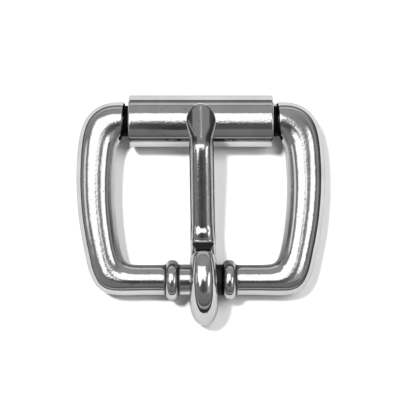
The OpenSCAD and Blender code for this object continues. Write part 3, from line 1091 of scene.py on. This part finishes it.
# Columns: name, glow, softness of the edge in degrees, and corners in degrees from
# straight up as (across, along)
WINDOWS = (
    ("main", WINDOW, 3, [
        (-38, -7), (-28, -11), (-4, -1), (-4, 34.5), (-42, 33), (-42, 10)]),
    ("lower", WINDOW, 4, [
        (-27, -17), (-23, -20), (-16, -17), (-9, -12), (-8, -1), (-28, -1)]),
    ("middle", WINDOW, 2, [(-5, 2), (5, 1), (7, 10), (7, 35), (-5, 35)]),
    ("corner", WINDOW, 3, [(2, -5), (7, -4), (7, 3), (2, 3)]),
    ("end", WINDOW, 2, [(7.5, 6), (12.5, 5), (12.5, 13), (10, 24), (6, 24)]),
    ("narrow", WINDOW, 2, [
        (25, -23), (42, -19), (48.5, 0), (48.5, 13), (41, 20), (31, 12), (22.5, 0),
        (22.5, -20)]),
    ("tail", 0.5, 8, [(20, -36), (46, -36), (50, -18), (22, -18)]),
    ("strip", 1.1, 4, [(-65, -12), (-55, -12), (-54, 12), (-64, 12)]),
    ("arm", 0.05, 1.5, [(-3, -40), (0, -40), (0, -10), (-3, -10)]),
)
# Each wall's glow from straight up to the table: degrees, glow
WALLS = {
    "back": [(0, 0.354), (34, 0.401), (66, 0.401), (70, 0.236), (74, 0.708),
             (82, 0.708), (87, 0.236)],
    "right": [(0, 0.4), (10, 0.3), (26, 0.3), (48, 0.19), (57, 0.19), (62, 0.38),
              (69, 0.35), (74, 0.1), (84, 0.07), (86, 0.01), (91, 0.01)],
    "front": [(0, 0.5), (4, 0.32), (7, 0.18), (14, 0.12), (33, 0.106), (39, 0.236),
              (66, 0.212), (71, 0.118), (76, 0.13), (80, 0.59), (83, 0.472),
              (87, 0.177), (90, 0.024)],
    "left": [(0, 0.29), (38, 0.27), (46, 0.26), (66, 0.3), (82, 0.28), (85, 0.02),
             (91, 0.01)],
}


def window(across, along, corners, soft):
    """1 inside the corners and 0 outside, with an edge soft degrees wide: the
    least distance to the lines through neighbouring corners, over the softness."""
    inside = np.full(across.shape, np.inf)
    for (x0, y0), (x1, y1) in zip(corners, corners[1:] + corners[:1]):
        length = math.hypot(x1 - x0, y1 - y0)
        off = ((x1 - x0) * (along - y0) - (y1 - y0) * (across - x0)) / length
        inside = np.minimum(inside, off)
    return np.clip(inside / soft + 0.5, 0, 1)


def tent_glow(zenith, azimuth):
    """Glow by angle from straight up and azimuth, in degrees: the walls' tables
    mixed by how much the azimuth faces each wall, and the windows over them."""
    turn = np.radians(azimuth)
    across, along = zenith * np.cos(turn), zenith * np.sin(turn)
    glow, total = np.zeros_like(zenith), np.zeros_like(zenith)
    for facing, name in ((90, "back"), (0, "right"), (270, "front"), (180, "left")):
        weight = np.clip(np.cos(np.radians(azimuth - facing)), 0, None) ** 3 + 1e-6
        table = np.array(WALLS[name])
        glow += weight * np.interp(zenith, table[:, 0], table[:, 1])
        total += weight
    glow /= total
    for _, level, soft, corners in WINDOWS:
        glow = glow + (level - glow) * window(across, along, corners, soft)
    return glow


# %% [markdown]
# ### The dome
# The dome is a grid of points by angle from straight up and azimuth. Its glow is
# stored on them, and only the metal's reflections see it.

# %% The dome
def emission(name, strength):
    """Plain glowing material that isn't counted as a lamp; its strength is a
    number or the name of an attribute."""
    material, tree = new_material(name)
    tree.nodes.clear()
    if isinstance(strength, str):
        strength = attribute(tree, strength)
    glow = node(tree, "ShaderNodeEmission", {"Strength": strength}).outputs[0]
    node(tree, "ShaderNodeOutputMaterial", {"Surface": glow})
    material.cycles.emission_sampling = "NONE"
    return material


def only_reflected(piece):
    """Leave a piece visible to the metal's reflections alone."""
    for way in ("camera", "diffuse", "shadow", "transmission", "volume_scatter"):
        setattr(piece, "visible_" + way, False)


def tent():
    """Dome of radius TENT_R over the table: the radius times the sine of the
    zenith angle across and along its azimuth, and times the cosine upwards."""
    zenith, azimuth = np.meshgrid(
        np.linspace(0.2, 90.5, DOME_ROWS), np.arange(0, 360, AZIMUTH_STEP), indexing="ij")
    tip, turn = np.radians(zenith), np.radians(azimuth)
    flat = np.sin(tip)
    points = np.stack([flat * np.cos(turn), flat * np.sin(turn), np.cos(tip)], -1) * TENT_R
    index = np.arange(zenith.size).reshape(zenith.shape)
    quads = quads_between(index[:-1], index[1:])
    mesh = bpy.data.meshes.new("light_tent")
    mesh.from_pydata(points.reshape(-1, 3), [], quads.tolist())
    glow = tent_glow(zenith, azimuth)
    layer = mesh.attributes.new("glow", "FLOAT", "POINT")
    layer.data.foreach_set("value", glow.ravel())
    mesh.materials.append(emission("tent_cloth", "glow"))
    dome = in_scene("light_tent", mesh)
    only_reflected(dome)
    print("tent points", zenith.size, "glow", round(float(glow.max()), 2))


tent()

# %% [markdown]
# ## Table and daylight
# The buckle lies on white paper. A small lamp behind on the left draws the soft
# shadows, and a wide panel on the right fills them; in the metal the tent's
# windows stand for both. The photograph's exposure turns the paper plain white,
# and paper as bright as that would glare in the metal. So the camera sees one
# sheet, and the metal a dimmer one that lies on it, with the darker table beyond.

# %% Paper
PAPER, PAPER_SEEN = 0.9, 0.63
PAPER_SIZE = 3
SEEN_HEIGHT = 0.0002


def paper(name, grey):
    """Matt material of this grey."""
    material, tree = new_material(name)
    fill(tree, tree.nodes["Principled BSDF"], {
        "Base Color": (grey, grey, grey, 1), "Roughness": 1, "Specular IOR Level": 0})
    return material


def sheet(name, material, height, size=(PAPER_SIZE, PAPER_SIZE), y=0):
    """Level sheet of the stage at this height, with its middle at y."""
    bpy.ops.mesh.primitive_plane_add(size=1, location=(0, y, height))
    made = bpy.context.object
    made.name = name
    made.scale = (*size, 1)
    made.data.materials.append(material)
    return made


floor = sheet("floor", paper("floor", PAPER), 0)
floor.visible_glossy = False
only_reflected(sheet("floor_in_metal", paper("floor_in_metal", PAPER_SEEN), SEEN_HEIGHT))
print("papers", PAPER, PAPER_SEEN)

# %% Table beyond the paper, shown by the metal alone
PAPER_BACK, PAPER_FRONT, TABLE_END, TABLE_SIDE = 0.04, -0.06, 0.45, 0.5
TABLE_HEIGHT = 0.0004
for name, near, glow in (
    ("table_back", PAPER_BACK, 0.2),
    ("table_front", PAPER_FRONT, 0.04),
):
    end = math.copysign(TABLE_END, near)
    size = (2 * TABLE_SIDE, abs(end - near))
    only_reflected(sheet(name, emission(name, glow), TABLE_HEIGHT, size, (end + near) / 2))
    print(name, "glow", glow)

# %% Lamps and world
LAMP_WAY = (-0.29, 0.285, 1.0)
LAMP_FAR = 1.0
LAMP_WIDE = 0.12
LAMP_POWER = 10.5
PANEL_AT = (0.18, 0.14, 0.5)
PANEL_SIZE = (0.25, 0.25)
PANEL_POWER = 2.0
ROOM = 0.2


def area_lamp(name, at, size, power, way=(0, 0, 1)):
    """Round lamp, or a panel where size has two numbers, that looks back along way
    and isn't seen in the metal."""
    data = bpy.data.lights.new(name, "AREA")
    data.energy = power
    data.shape = "RECTANGLE" if len(size) == 2 else "DISK"
    data.size, data.size_y = size[0], size[-1]
    made = in_scene(name, data)
    made.location = at
    made.rotation_euler = (
        math.atan2(math.hypot(way[0], way[1]), way[2]), 0,
        math.atan2(way[1], way[0]) + math.pi / 2)
    made.visible_glossy = False


way = np.array(LAMP_WAY) / np.linalg.norm(LAMP_WAY)
area_lamp("lamp", way * LAMP_FAR, (LAMP_WIDE,), LAMP_POWER, way)
area_lamp("panel", PANEL_AT, PANEL_SIZE, PANEL_POWER)

world = bpy.data.worlds.new("world")
bpy.context.scene.world = world
world.use_nodes = True
background = world.node_tree.nodes["Background"]
fill(world.node_tree, background, {"Color": (1, 1, 1, 1), "Strength": ROOM})
bpy.context.scene.view_settings.view_transform = "Standard"
print("lamp", LAMP_POWER, "panel", PANEL_POWER, "room", ROOM)
